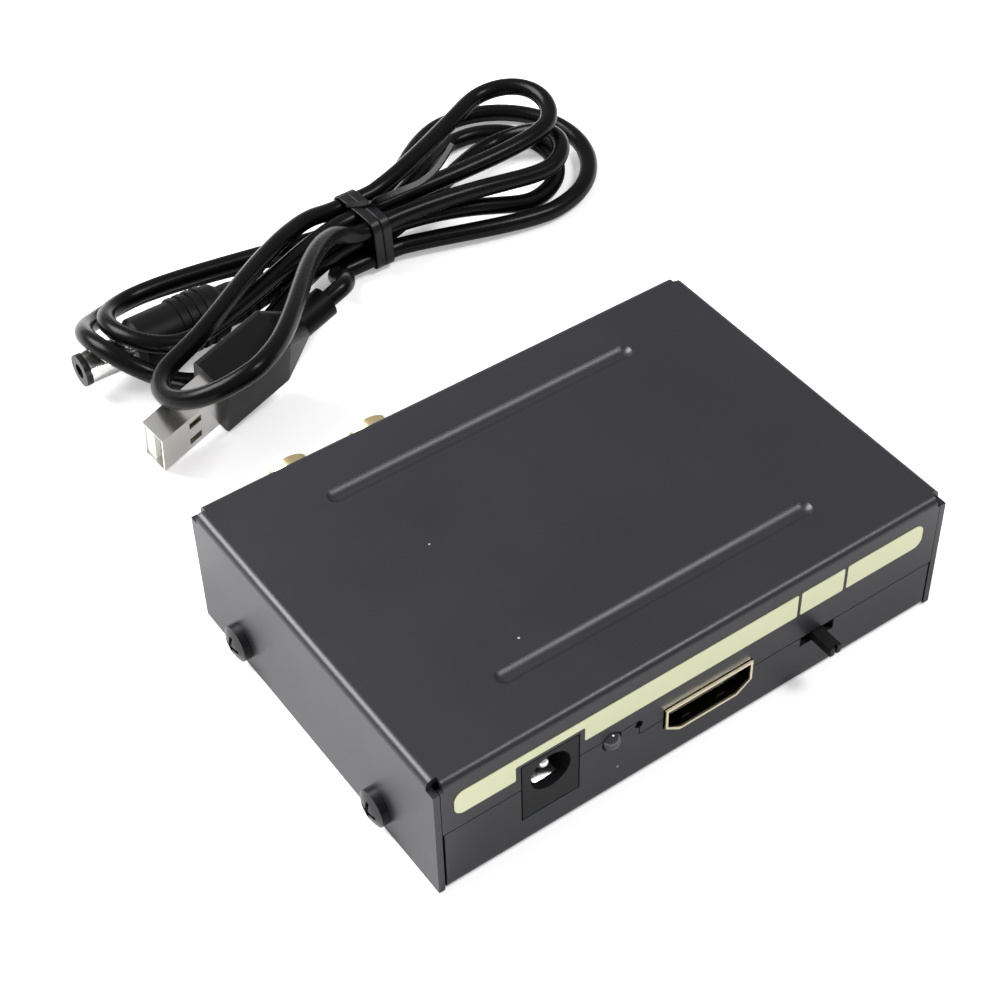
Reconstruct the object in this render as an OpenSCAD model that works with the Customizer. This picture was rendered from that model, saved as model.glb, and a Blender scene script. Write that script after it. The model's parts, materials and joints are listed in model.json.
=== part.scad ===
// Small folded-steel box that splits the sound from a digital video link,
// with its power lead lying folded behind it. Millimetres, +Z up, front face at -Y.

/* [Case] */
// Length of the case, side to side
case_l = 86; // [84:1:110]
// Depth of the case, front face to rear face
case_d = 60; // [60:1:80]
// Height of the case
case_h = 22; // [21:0.5:30]
// Thickness of the sheet steel
sheet = 1.0; // [0.8:0.1:1.1]
// Inner radius of the bends
bend_in_r = 0.2; // [0.1:0.1:0.5]
// Height of the front seam left of its step
seam_high_z = 11.7; // [11.2:0.1:12.2]
// Height of the front and rear seams beside the video sockets
seam_low_z = 9.0; // [8.4:0.1:9.6]
// Place of the step in the front seam
front_step_x = -10.6; // [-11.4:0.1:-10]
// Length of the two pressed beads in the roof
bead_l = 54.3; // [40:0.1:60]
// Distance of each bead from the middle of the roof
bead_y = 20.2; // [12:0.1:23]
// Radius of the tool that presses the beads
bead_r = 2.0; // [1.6:0.1:3]
// Depth of the beads
bead_deep = 0.6; // [0.3:0.1:0.8]

/* [Inlet, light and switch] */
// Place of the power inlet along the front
dc_x = -25.05; // [-27:0.05:-24]
// Width of the inlet's face
dc_w = 9.0; // [8.8:0.1:9.2]
// Radius of the inlet's hole
dc_hole_r = 3.2; // [3.1:0.05:3.3]
// Radius of the inlet's centre pin
dc_pin_r = 1.0; // [0.8:0.05:1.2]
// Place of the power light along the front
led_x = -15.1; // [-15.6:0.1:-14.6]
// Radius of the power light
led_r = 1.5; // [1.3:0.05:1.6]
// Place of the slide switch along the front
switch_x = 20.7; // [18:0.1:26]
// Width of the switch knob
knob_w = 1.9; // [1.6:0.1:2.2]
// How far the knob stands out of the front
knob_out = 4.0; // [2:0.1:5]
// Travel of the knob to each side of the middle position
knob_travel = 2.0; // [1.5:0.1:2.4]

/* [Video sockets] */
// Place of the video input along the front
video_in_x = 1.25; // [0:0.05:3]
// Place of the video output along the rear
video_out_x = 24; // [22.5:0.5:24.5]
// Outer width of a video socket
socket_w = 15.0; // [14.6:0.1:15.2]
// Outer height of a video socket
socket_h = 5.45; // [5.2:0.05:5.6]
// Depth of a video socket
socket_deep = 11.6; // [10:0.1:13]
// How far a video socket stands out of its wall
socket_out = 0.4; // [0.1:0.1:0.8]

/* [Audio outputs] */
// Place of the phono pair's middle along the rear
phono_x = -16.5; // [-18:0.5:-15]
// Distance between the two phono sockets
phono_pitch = 14.0; // [12:0.5:15]
// Outer radius of a phono shell
phono_r = 4.15; // [4.1:0.01:4.2]
// Radius of the hole in a phono socket's centre
phono_hole_r = 1.65; // [1.6:0.01:1.7]
// How far a phono shell stands out of the rear
phono_out = 7.6; // [6:0.1:9]
// Place of the optical output along the rear
optical_x = 7.5; // [7:0.1:9]
// Width and height of the optical output's mouth
optical_mouth = 6.2; // [6:0.1:6.4]

/* [Board] */
// Height of the standoffs that carry the board
standoff_h = 2.8; // [2.6:0.1:3]
// Thickness of the board
board_t = 1.6; // [1.5:0.1:1.7]

/* [Lead] */
// Diameter of the lead
lead_d = 3.1; // [3:0.1:3.2]
// Outer diameter of the barrel plug's sleeve
barrel_d = 5.5; // [5.4:0.05:5.6]
// Diameter of the barrel plug's grip
grip_d = 10; // [9:0.1:10]
// Width of the flat plug's steel shell
shell_w = 12.0; // [11.8:0.1:12.2]
// Thickness of the flat plug's steel shell
shell_t = 4.5; // [4.3:0.1:4.6]

/* [Hidden] */
$fn = 48;
// Overrun of every cut past the face that it opens
over = 0.5;
// Seat gap between parts that are pushed together
fit_gap = 0.03;
// Gap all round an opening in the case and what looks out of it
hole_gap = 0.2;
// Gap between the edges of cover and tray
seam_gap = 0.15;
// Gap between a tray wall's end and the cover's side flange
end_gap = 0.35;
// Gap between the tray's side flange and the cover's
tab_gap = 0.1;
// Height of the cover's lower edge over the table
foot_gap = 0.2;
bend_out_r = bend_in_r + sheet;
// Corner relief that lets neighbouring bends be folded
relief_share = 0.4;
relief = bend_out_r + relief_share * sheet;
relief_hole_r = 0.65;
tab_h = 8.0;
screw_z = 4.3;
screw_front_y = -16.2;
screw_rear_y = 19.2;
screw_r = 1.45;
screw_head_r = 2.8;
screw_head_h = 2.0;
screw_l = 4.0;
screw_tip_gap = 0.4;
board_z = sheet + standoff_h;
board_top = board_z + board_t;
board_gap = 0.7;
board_l = case_l - 2 * (screw_l + screw_tip_gap);
board_d = case_d - 2 * (sheet + board_gap);
post_r = 2.5;
post_hole_r = 1.25;
post_inset = 4.2;
board_screw_r = 1.2;
board_screw_head_r = 2.2;
board_screw_head_h = 1.5;

// Rectangle that stands on the axis with its two upper corners rounded
module round_top(w, h, r) {
    translate([-w / 2, 0]) square([w, h - r]);
    translate([-w / 2 + r, 0]) square([w - 2 * r, h]);
    for (side = [-1, 1]) translate([side * (w / 2 - r), h - r]) circle(r);
}

// Sheet bent down at both edges of a roof, open below
module channel(w, h, len) {
    rotate([90, 0, 0])
        translate([0, 0, -len / 2])
            linear_extrude(len)
                difference() {
                    round_top(w, h, bend_out_r);
                    translate([0, -over]) round_top(w - 2 * sheet, h - sheet + over, bend_in_r);
                }
}

// Flat shape cut or stood through the front wall, drawn in the wall's plane
module through_front(x, z) {
    translate([x, -case_d / 2 + sheet + over, z])
        rotate([90, 0, 0]) linear_extrude(sheet + 2 * over) children();
}

module through_rear(x, z) {
    translate([x, case_d / 2 + over, z])
        rotate([90, 0, 0]) linear_extrude(sheet + 2 * over) children();
}

// Area under the stepped seam of a wall, seen from the front
module seam_area(high_z, low_z, step_x, raise) {
    left = -case_l / 2 - over;
    translate([left, -over]) square([step_x + raise - left, high_z + raise + over]);
    translate([left, -over]) square([case_l + 2 * over, low_z + raise + over]);
}

phono_body_h = 11.0;
phono_z = board_top + phono_body_h / 2;
rear_high_z = phono_z;
rear_step_x = (optical_x + video_out_x) / 2;

module under_seams(raise) {
    half = case_d / 2 + over;
    rotate([90, 0, 0])
        linear_extrude(half) seam_area(seam_high_z, seam_low_z, front_step_x, raise);
    translate([0, half, 0]) rotate([90, 0, 0])
        linear_extrude(half) seam_area(rear_high_z, seam_low_z, rear_step_x, raise);
}

// Mouth of a video socket: wide above, drawn in below its two slanted corners
socket_side_share = 0.33;
socket_foot_share = 0.67;
module socket_outline(grow) {
    half = socket_w / 2 + grow;
    foot = socket_foot_share * socket_w / 2 + grow * socket_foot_share;
    side_z = socket_side_share * socket_h - grow * socket_side_share;
    polygon([
        [-half, socket_h + grow], [-half, side_z], [-foot, -grow],
        [foot, -grow], [half, side_z], [half, socket_h + grow]
    ]);
}

slot_h = 1.8;
slot_up = 2.73;
led_up = 5.56;
slot_z = board_top + slot_up;
led_z = board_top + led_up;
dc_h = 10.9;

module front_openings() {
    through_front(dc_x, board_top)
        translate([-dc_w / 2 - hole_gap, -hole_gap]) square([dc_w + 2 * hole_gap, dc_h + 2 * hole_gap]);
    through_front(led_x, led_z) circle(led_r + hole_gap / 2);
    through_front(front_step_x, seam_high_z - relief_hole_r) circle(relief_hole_r);
    through_front(video_in_x, board_top) socket_outline(hole_gap);
    through_front(switch_x, slot_z)
        square([knob_w + 2 * (knob_travel + hole_gap / 2), slot_h], center = true);
}

module rear_openings() {
    for (side = [-1, 1]) through_rear(phono_x + side * phono_pitch / 2, phono_z) circle(phono_r + hole_gap);
    through_rear(optical_x, board_top)
        translate([-optical_w / 2 - hole_gap, -hole_gap])
            square([optical_w + 2 * hole_gap, optical_h + 2 * hole_gap]);
    through_rear(video_out_x, board_top) socket_outline(hole_gap);
}

// Rod with ball ends, lying along X
module capsule(len, r) {
    rotate([0, 90, 0]) cylinder(h = len, r = r, center = true);
    for (side = [-1, 1]) translate([side * len / 2, 0, 0]) sphere(r);
}

// One bead's tool line, over the roof by what the tool doesn't press in
module bead_at(side, r) {
    translate([0, side * bead_y, case_h + bead_r - bead_deep]) capsule(bead_l - 2 * bead_r, r);
}

module case_screw_holes(r) {
    for (side = [-1, 1], y = [screw_front_y, screw_rear_y])
        translate([side * case_l / 2, y, screw_z])
            rotate([0, 90, 0]) cylinder(h = 4 * (sheet + over), r = r, center = true);
}

module top_cover() {
    lip_end = case_l / 2 - sheet - tab_gap;
    under_bend = case_h - relief;
    color("#3b3a3f") difference() {
        union() {
            difference() {
                union() {
                    rotate([0, 0, 90]) channel(case_d, case_h, case_l - 2 * relief);
                    for (side = [-1, 1])
                        translate([-lip_end, side * (case_d - sheet) / 2 - sheet / 2, 0])
                            cube([2 * lip_end, sheet, under_bend]);
                }
                under_seams(seam_gap);
            }
            difference() {
                union() {
                    channel(case_l, case_h, case_d - 2 * relief);
                    for (side = [-1, 1])
                        translate([side * (case_l - sheet) / 2 - sheet / 2, -case_d / 2, 0])
                            cube([sheet, case_d, under_bend]);
                }
                translate([-case_l, -case_d, -over]) cube([2 * case_l, 2 * case_d, over + foot_gap]);
            }
            intersection() {
                for (side = [-1, 1]) bead_at(side, bead_r + sheet);
                translate([-case_l / 2, -case_d / 2, 0]) cube([case_l, case_d, case_h - sheet / 2]);
            }
        }
        for (side = [-1, 1]) bead_at(side, bead_r);
        front_openings();
        rear_openings();
        case_screw_holes(screw_r + hole_gap);
    }
}

module bottom_tray() {
    wall_end = case_l / 2 - sheet - end_gap;
    tab_out = case_l - 2 * (sheet + tab_gap);
    floor_d = case_d - 2 * relief;
    color("#37363b") difference() {
        union() {
            intersection() {
                translate([0, 0, case_h]) rotate([180, 0, 90]) channel(case_d, case_h, 2 * wall_end);
                under_seams(0);
            }
            intersection() {
                translate([0, 0, case_h]) rotate([180, 0, 0]) channel(tab_out, case_h, floor_d);
                translate([-case_l / 2, -case_d / 2, 0]) cube([case_l, case_d, tab_h]);
            }
        }
        front_openings();
        rear_openings();
        case_screw_holes(screw_r + fit_gap);
        at_posts() translate([0, 0, -over]) cylinder(h = sheet + 2 * over, r = post_hole_r);
    }
}

// Screw along Z with a domed head over the origin, its shank below, and a cross recess
module pan_screw(r, len, head_r, head_h) {
    slot = head_r / 4;
    difference() {
        union() {
            translate([0, 0, -len]) cylinder(h = len, r = r);
            rotate_extrude() intersection() {
                translate([0, head_h - head_r * 2]) circle(head_r * 2);
                square([head_r, head_h]);
            }
        }
        for (turn = [0, 90]) rotate([0, 0, turn])
            translate([-head_r * 0.62, -slot / 2, head_h * 0.4]) cube([head_r * 1.24, slot, head_h]);
    }
}

module case_screws() {
    color("#1c1b1e")
        for (side = [-1, 1], y = [screw_front_y, screw_rear_y])
            translate([side * case_l / 2, y, screw_z])
                rotate([0, side * 90, 0]) pan_screw(screw_r, screw_l, screw_head_r, screw_head_h);
}

module at_posts() {
    for (x = [-1, 1], y = [-1, 1])
        translate([x * (board_l / 2 - post_inset), y * (board_d / 2 - post_inset), 0]) children();
}

module standoffs() {
    color("#b9b9b4") at_posts() difference() {
        translate([0, 0, sheet]) cylinder(h = standoff_h, r = post_r);
        translate([0, 0, sheet - over]) cylinder(h = standoff_h + 2 * over, r = post_hole_r);
    }
}

switch_pin_pitch = 2.5;
switch_pin_r = 0.35;
switch_row_y = 1.1;
module at_switch_pins() {
    for (column = [-1.5:1:1.5], row = [0, 1])
        translate([switch_x + column * switch_pin_pitch, switch_back_y - switch_base_d / 2
            + (row - 0.5) * switch_row_y, 0]) children();
}

module circuit_board() {
    color("#1f6b3a") difference() {
        translate([-board_l / 2, -board_d / 2, board_z]) cube([board_l, board_d, board_t]);
        at_posts() translate([0, 0, board_z - over])
            cylinder(h = board_t + 2 * over, r = board_screw_r + hole_gap);
        at_switch_pins() translate([0, 0, board_z - over])
            cylinder(h = board_t + 2 * over, r = switch_pin_r + fit_gap);
    }
}

module board_screws() {
    color("#c8c8c4") at_posts() translate([0, 0, board_top])
        pan_screw(board_screw_r, board_t + standoff_h, board_screw_head_r, board_screw_head_h);
}

// Power inlet
dc_deep = 14.2;
dc_bore_deep = 9.5;
dc_face_t = 3.3;
dc_hole_up = 7.0;
dc_hole_z = board_top + dc_hole_up;
dc_front_y = -case_d / 2;
dc_spring_w = 3.6;
dc_spring_t = 0.3;
module dc_jack_body() {
    color("#343338") difference() {
        union() {
            translate([dc_x - dc_w / 2, dc_front_y, board_top]) cube([dc_w, dc_face_t, dc_h]);
            intersection() {
                union() {
                    translate([dc_x, dc_front_y + dc_deep, dc_hole_z - over])
                        rotate([90, 0, 0]) cylinder(h = dc_deep - over, r = dc_w / 2);
                    translate([dc_x - dc_w / 2, dc_front_y + over, board_top])
                        cube([dc_w, dc_deep - over, dc_hole_z - over - board_top]);
                }
                translate([dc_x - dc_w / 2, dc_front_y, board_top]) cube([dc_w, dc_deep, dc_h]);
            }
        }
        translate([dc_x, dc_front_y + dc_bore_deep, dc_hole_z])
            rotate([90, 0, 0]) cylinder(h = dc_bore_deep + over, r = dc_hole_r);
        translate([dc_x, dc_front_y + dc_deep + over, dc_hole_z])
            rotate([90, 0, 0]) cylinder(h = dc_deep, r = dc_pin_r + fit_gap);
        translate([dc_x - dc_spring_w / 2 - fit_gap, dc_front_y + dc_lead_in, dc_hole_z - dc_hole_r - dc_spring_t])
            cube([dc_spring_w + 2 * fit_gap, dc_deep, dc_hole_r]);
    }
}

dc_lead_in = 1.4;
dc_pin_in = 1.0;
module dc_jack_pin() {
    color("#e3e1da") translate([dc_x, dc_front_y + dc_deep, dc_hole_z]) rotate([90, 0, 0]) {
        cylinder(h = dc_deep - dc_pin_in - dc_pin_r, r = dc_pin_r);
        translate([0, 0, dc_deep - dc_pin_in - dc_pin_r]) sphere(dc_pin_r);
        translate([0, 0, -dc_spring_t]) cylinder(h = dc_spring_t, r = 2 * dc_pin_r);
        translate([-dc_pin_r, -dc_hole_z + board_top, -dc_spring_t])
            cube([2 * dc_pin_r, dc_hole_z - board_top, dc_spring_t]);
    }
}

// Leaf that rises in a low arch from the floor of the inlet's hole
module dc_jack_spring() {
    arch_r = 9.0;
    arch_rise = 0.9;
    leaf_l = dc_deep - dc_lead_in;
    low = dc_hole_z - dc_hole_r - dc_spring_t;
    color("#dedcd5") translate([dc_x - dc_spring_w / 2, dc_front_y + dc_lead_in, low]) {
        difference() {
            translate([0, leaf_l / 3, arch_rise - arch_r]) rotate([0, 90, 0])
                cylinder(h = dc_spring_w, r = arch_r, $fn = 96);
            translate([-over, leaf_l / 3, arch_rise - arch_r]) rotate([0, 90, 0])
                cylinder(h = dc_spring_w + 2 * over, r = arch_r - dc_spring_t, $fn = 96);
            translate([-over, -arch_r, -2 * arch_r]) cube([dc_spring_w + 2 * over, 4 * arch_r, 2 * arch_r]);
        }
        translate([0, leaf_l / 3 + sqrt(pow(arch_r - dc_spring_t, 2) - pow(arch_r - arch_rise, 2)), 0])
            cube([dc_spring_w, 2 * leaf_l / 3 - sqrt(pow(arch_r - dc_spring_t, 2)
                - pow(arch_r - arch_rise, 2)), dc_spring_t]);
    }
}

// Power light
led_out = 1.1;
led_l = 5.3;
led_rim = 0.4;
led_wire = 0.5;
led_wire_reach = 1.6;
led_wire_pitch = 2.54;
led_front_y = -case_d / 2 - led_out;
module power_light() {
    color("#4a4a52") translate([led_x, led_front_y + led_l, led_z]) rotate([90, 0, 0]) {
        cylinder(h = led_l - led_r, r = led_r);
        translate([0, 0, led_l - led_r]) sphere(led_r);
        cylinder(h = 2 * led_rim, r = led_r + led_rim);
    }
}

module light_leads() {
    back_y = led_front_y + led_l;
    color("#cfcfca") for (side = [-1, 1])
        translate([led_x + side * led_wire_pitch / 2 - led_wire / 2, back_y, board_top]) {
            translate([0, 0, led_z - board_top - led_wire / 2])
                cube([led_wire, led_wire_reach, led_wire]);
            translate([0, led_wire_reach - led_wire, 0])
                cube([led_wire, led_wire, led_z - board_top]);
        }
}

// Video sockets, drawn with their mouth at -Y and their foot on z = 0
shell_wall = 0.4;
tongue_w = 11.6;
tongue_t = 1.3;
tongue_z = 2.6;
tongue_in = 1.2;
socket_back = 2.2;
contact_pitch = 1.0;
contact_w = 0.45;
contact_t = 0.15;
contact_l = 5.5;
finger_w = 1.4;
finger_t = 0.25;
finger_l = 4.0;
module socket_shell() {
    difference() {
        rotate([90, 0, 0]) translate([0, 0, -socket_deep]) linear_extrude(socket_deep)
            socket_outline(0);
        rotate([90, 0, 0]) translate([0, 0, -socket_deep + shell_wall])
            linear_extrude(socket_deep) socket_outline(-shell_wall);
    }
    for (side = [-1, 1]) translate([side * socket_w / 5 - finger_w / 2, tongue_in, shell_wall / 2])
        rotate([3, 0, 0]) cube([finger_w, finger_l, shell_wall / 2 + finger_t]);
}

module socket_tongue() {
    inner = shell_wall + fit_gap;
    translate([0, socket_deep - shell_wall - fit_gap, 0]) rotate([90, 0, 0])
        linear_extrude(socket_back) socket_outline(-inner);
    translate([-tongue_w / 2, tongue_in, tongue_z])
        cube([tongue_w, socket_deep - tongue_in - 2 * shell_wall, tongue_t]);
}

socket_contact_count = 19;
module socket_contacts() {
    for (k = [0:socket_contact_count - 1]) {
        upper = k % 2;
        z = upper == 1 ? tongue_z + tongue_t : tongue_z - contact_t;
        translate([(k - 9) * contact_pitch / 2 * 1.1 - contact_w / 2, 2 * tongue_in, z])
            cube([contact_w, contact_l, contact_t]);
    }
}

module at_video_in() {
    translate([video_in_x, -case_d / 2 - socket_out, board_top]) children();
}

module at_video_out() {
    translate([video_out_x, case_d / 2 + socket_out, board_top]) rotate([0, 0, 180]) children();
}

module video_in_shell() { color("#d9c58c") at_video_in() socket_shell(); }
module video_in_tongue() { color("#19181a") at_video_in() socket_tongue(); }
module video_in_contacts() { color("#e0bd62") at_video_in() socket_contacts(); }
module video_out_shell() { color("#d9c58c") at_video_out() socket_shell(); }
module video_out_tongue() { color("#19181a") at_video_out() socket_tongue(); }
module video_out_contacts() { color("#e0bd62") at_video_out() socket_contacts(); }

// Slide switch
switch_w = 12.6;
switch_h = 5.4;
switch_d = 5.0;
switch_wall = 0.3;
switch_base_d = 2.0;
wall_gap_share = 0.1;
switch_front_y = -case_d / 2 + sheet + wall_gap_share * sheet;
switch_back_y = switch_front_y + switch_d;
slide_gap = 0.1;
slider_w = 5.4;
slider_d = switch_d - switch_base_d - switch_wall - 2 * slide_gap;
slider_h = 3.6;
knob_h = slot_h - 3 * slide_gap;
switch_pin_l = 2.4;
knob_notch = 0.5;
module mode_switch_cover() {
    color("#c4c4bf") difference() {
        translate([switch_x - switch_w / 2, switch_front_y, board_top]) cube([switch_w, switch_d, switch_h]);
        translate([switch_x - switch_w / 2 + switch_wall, switch_front_y + switch_wall, board_top - over])
            cube([switch_w - 2 * switch_wall, switch_d, switch_h + over - switch_wall]);
        translate([switch_x, switch_front_y + switch_wall + over, slot_z]) rotate([90, 0, 0])
            linear_extrude(switch_wall + 2 * over)
                square([knob_w + 2 * (knob_travel + hole_gap), slot_h + hole_gap], center = true);
    }
}

module mode_switch_base() {
    inner_w = switch_w - 2 * (switch_wall + fit_gap);
    inner_h = switch_h - switch_wall - fit_gap;
    color("#26262a") {
        translate([switch_x - inner_w / 2, switch_back_y - switch_base_d, board_top])
            cube([inner_w, switch_base_d, inner_h]);
        translate([switch_x - inner_w / 2, switch_front_y + switch_wall + fit_gap, board_top])
            cube([inner_w, switch_d - switch_wall - fit_gap - switch_base_d + over / 2,
                slot_z - slider_h / 2 - slide_gap - board_top]);
    }
}

module mode_switch_knob() {
    tip_y = -case_d / 2 - knob_out;
    slider_y = switch_front_y + switch_wall + slide_gap;
    color("#141316") difference() {
        union() {
            translate([switch_x - knob_w / 2, tip_y, slot_z - knob_h / 2])
                cube([knob_w, slider_y - tip_y + over, knob_h]);
            translate([switch_x - slider_w / 2, slider_y, slot_z - slider_h / 2])
                cube([slider_w, slider_d, slider_h]);
        }
        translate([switch_x - knob_notch / 2, tip_y - over, slot_z - knob_h])
            cube([knob_notch, over + knob_notch, 2 * knob_h]);
    }
}

module mode_switch_terminals() {
    color("#cfcfca") at_switch_pins() translate([0, 0, board_top - switch_pin_l])
        cylinder(h = switch_pin_l, r = switch_pin_r);
}

// Phono pair
phono_body_w = 24.4;
phono_body_d = 10.4;
phono_wall = 0.5;
phono_shy = 0.7;
phono_contact_t = 0.35;
phono_stand = 0.15;
phono_edge = 0.3;
phono_neck_r = 3.55;
phono_face_y = case_d / 2 - sheet - wall_gap_share * sheet;
phono_neck_l = case_d / 2 - phono_face_y + phono_stand;
phono_shell_l = case_d / 2 - phono_face_y + phono_out;
module at_phonos(sides) {
    for (side = sides) translate([phono_x + side * phono_pitch / 2, phono_face_y, phono_z])
        rotate([-90, 0, 0]) children();
}

module audio_jack_housing() {
    color("#232326") difference() {
        translate([phono_x - phono_body_w / 2, phono_face_y - phono_body_d, board_top])
            cube([phono_body_w, phono_body_d, phono_body_h]);
        at_phonos([-1, 1]) translate([0, 0, -phono_body_d * 0.8])
            cylinder(h = phono_body_d, r = phono_hole_r + phono_contact_t + fit_gap);
    }
}

// The shell has a neck where it passes the rear panel, and stands on the panel with its full width
module audio_jack_shells() {
    full_r = phono_r;
    full_in = full_r - phono_wall;
    neck_in = phono_neck_r - phono_wall;
    color("#d7bf7f") at_phonos([-1, 1]) rotate_extrude() polygon([
        [neck_in, 0],
        [phono_neck_r, 0],
        [phono_neck_r, phono_neck_l],
        [full_r, phono_neck_l],
        [full_r, phono_shell_l - phono_edge],
        [full_r - phono_edge, phono_shell_l],
        [full_in, phono_shell_l],
        [full_in, phono_neck_l + phono_wall],
        [neck_in, phono_neck_l + phono_wall]
    ]);
}

module phono_insert() {
    full_r = phono_r - phono_wall - fit_gap;
    neck_r = phono_neck_r - phono_wall - fit_gap;
    hole_r = phono_hole_r + phono_contact_t + fit_gap;
    step_z = phono_neck_l + phono_wall + fit_gap;
    insert_l = phono_shell_l - phono_shy;
    rotate_extrude() polygon([
        [hole_r, 0], [neck_r, 0], [neck_r, step_z], [full_r, step_z], [full_r, insert_l], [hole_r, insert_l]
    ]);
}

module audio_insert_left() { color("#ecebe4") at_phonos([1]) phono_insert(); }
module audio_insert_right() { color("#b3222a") at_phonos([-1]) phono_insert(); }

module audio_jack_contacts() {
    contact_in = phono_body_d * 0.7;
    tube_l = contact_in + phono_out + case_d / 2 - phono_face_y - 2 * phono_shy;
    color("#d9b968") at_phonos([-1, 1]) translate([0, 0, -contact_in]) difference() {
        cylinder(h = tube_l, r = phono_hole_r + phono_contact_t);
        translate([0, 0, phono_contact_t]) cylinder(h = tube_l, r = phono_hole_r);
    }
}

// Optical output with its hinged dust flap
optical_w = 9.7;
optical_h = 10.2;
optical_d = 13.2;
optical_out = 0.6;
optical_cavity = 9.5;
optical_face_y = case_d / 2 + optical_out;
optical_mouth_up = 2.0;
flap_axis_in = 1.3;
flap_axis_down = 0.8;
optical_mouth_z = board_top + optical_mouth_up;
flap_axis_y = optical_face_y - flap_axis_in;
flap_axis_z = optical_mouth_z + optical_mouth - flap_axis_down;
flap_pin_r = 0.3;
flap_barrel_r = 0.65;
flap_t = 0.6;
flap_gap = 0.15;
flap_pin_l = optical_mouth + 2.0;
emitter_r = 1.5;
emitter_l = 2.0;
corner_cut = 1.2;
module optical_port_body() {
    half = optical_mouth / 2;
    color("#1d1d20") difference() {
        translate([optical_x - optical_w / 2, optical_face_y - optical_d, board_top])
            cube([optical_w, optical_d, optical_h]);
        translate([optical_x, optical_face_y + over, optical_mouth_z]) rotate([90, 0, 0])
            linear_extrude(optical_cavity + over) polygon([
                [-half + corner_cut, 0], [half - corner_cut, 0], [half, corner_cut],
                [half, optical_mouth], [-half, optical_mouth], [-half, corner_cut]
            ]);
        translate([optical_x, flap_axis_y, flap_axis_z]) rotate([0, 90, 0])
            cylinder(h = flap_pin_l + 2 * fit_gap, r = flap_pin_r + fit_gap, center = true);
        translate([optical_x, optical_face_y - optical_cavity + over, optical_mouth_z + optical_mouth / 2])
            rotate([90, 0, 0]) cylinder(h = emitter_l + over + fit_gap, r = emitter_r + fit_gap);
    }
}

module optical_port_flap() {
    half = optical_mouth / 2 - flap_gap;
    reach = flap_axis_z - optical_mouth_z - flap_gap;
    color("#2b2b2f") difference() {
        union() {
            translate([optical_x, flap_axis_y + flap_t / 2, flap_axis_z]) rotate([90, 0, 0])
                linear_extrude(flap_t) polygon([
                    [-half, 0], [-half, corner_cut - reach], [-half + corner_cut, -reach],
                    [half - corner_cut, -reach], [half, corner_cut - reach], [half, 0]
                ]);
            translate([optical_x, flap_axis_y, flap_axis_z]) rotate([0, 90, 0])
                cylinder(h = 2 * half, r = flap_barrel_r, center = true);
        }
        translate([optical_x, flap_axis_y, flap_axis_z]) rotate([0, 90, 0])
            cylinder(h = optical_w, r = flap_pin_r + 2 * fit_gap, center = true);
    }
}

module optical_flap_pin() {
    color("#c8c8c4") translate([optical_x, flap_axis_y, flap_axis_z]) rotate([0, 90, 0])
        cylinder(h = flap_pin_l, r = flap_pin_r, center = true);
}

module optical_emitter() {
    color("#8a1f22") translate([optical_x, optical_face_y - optical_cavity, optical_mouth_z + optical_mouth / 2])
        rotate([90, 0, 0]) cylinder(h = emitter_l, r = emitter_r);
}

// Parts on the board
chip_w = 10;
chip_t = 1.4;
leg_l = 1.0;
leg_w = 0.25;
leg_t = 0.2;
leg_pitch = 0.8;
chip_x = 10;
chip_y = 2;
module chip_legs(count, pitch, reach) {
    for (k = [0:count - 1]) translate([(k - (count - 1) / 2) * pitch - leg_w / 2, reach, 0])
        cube([leg_w, leg_l, leg_t]);
}

module video_chip() {
    color("#1b1b1d") translate([chip_x, chip_y, board_top]) {
        translate([-chip_w / 2, -chip_w / 2, 0]) cube([chip_w, chip_w, chip_t]);
        for (turn = [0:90:270]) rotate([0, 0, turn]) chip_legs(11, leg_pitch, chip_w / 2 - leg_t);
    }
}

sound_chip_w = 6.2;
sound_chip_d = 5.3;
sound_chip_x = -10;
sound_chip_y = 6;
module audio_chip() {
    color("#1b1b1d") translate([sound_chip_x, sound_chip_y, board_top]) {
        translate([-sound_chip_w / 2, -sound_chip_d / 2, 0]) cube([sound_chip_w, sound_chip_d, chip_t]);
        for (turn = [0, 180]) rotate([0, 0, turn]) chip_legs(7, leg_pitch, sound_chip_d / 2 - leg_t);
    }
}

regulator_w = 6.5;
regulator_d = 3.5;
regulator_tab = 3.0;
regulator_x = -22;
regulator_y = 6;
module regulator() {
    color("#1b1b1d") translate([regulator_x, regulator_y, board_top]) {
        translate([-regulator_w / 2, -regulator_d / 2, 0]) cube([regulator_w, regulator_d, chip_t]);
        translate([-regulator_tab / 2, regulator_d / 2 - leg_t, 0]) cube([regulator_tab, leg_l + leg_t, leg_t]);
        rotate([0, 0, 180]) chip_legs(3, 3 * leg_pitch, regulator_d / 2 - leg_t);
    }
}

crystal_l = 11;
crystal_w = 4.5;
crystal_h = 3.5;
crystal_x = 26;
crystal_y = 6;
module clock_crystal() {
    color("#c9c9c6") translate([crystal_x, crystal_y, board_top]) {
        linear_extrude(crystal_h) {
            square([crystal_l - crystal_w, crystal_w], center = true);
            for (side = [-1, 1]) translate([side * (crystal_l - crystal_w) / 2, 0]) circle(crystal_w / 2);
        }
    }
}

can_r = 2.5;
can_h = 5.4;
can_foot = 0.8;
can_x = -34;
can_pitch = 7.5;
module electrolytic_capacitors() {
    color("#b4b7bb") for (k = [-1:1]) translate([can_x, k * can_pitch, board_top]) {
        cylinder(h = can_h, r = can_r);
        translate([-can_r, -can_r, 0]) cube([2 * can_r, 2 * can_r, can_foot]);
    }
}

coil_w = 5.0;
coil_h = 3.0;
coil_x = -24;
coil_y = -7;
module inductor() {
    color("#3f3f41") translate([coil_x, coil_y, board_top]) {
        translate([-coil_w / 2, -coil_w / 2, 0]) cube([coil_w, coil_w, coil_h / 3]);
        cylinder(h = coil_h, r = coil_w / 2 - leg_w);
    }
}

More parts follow.
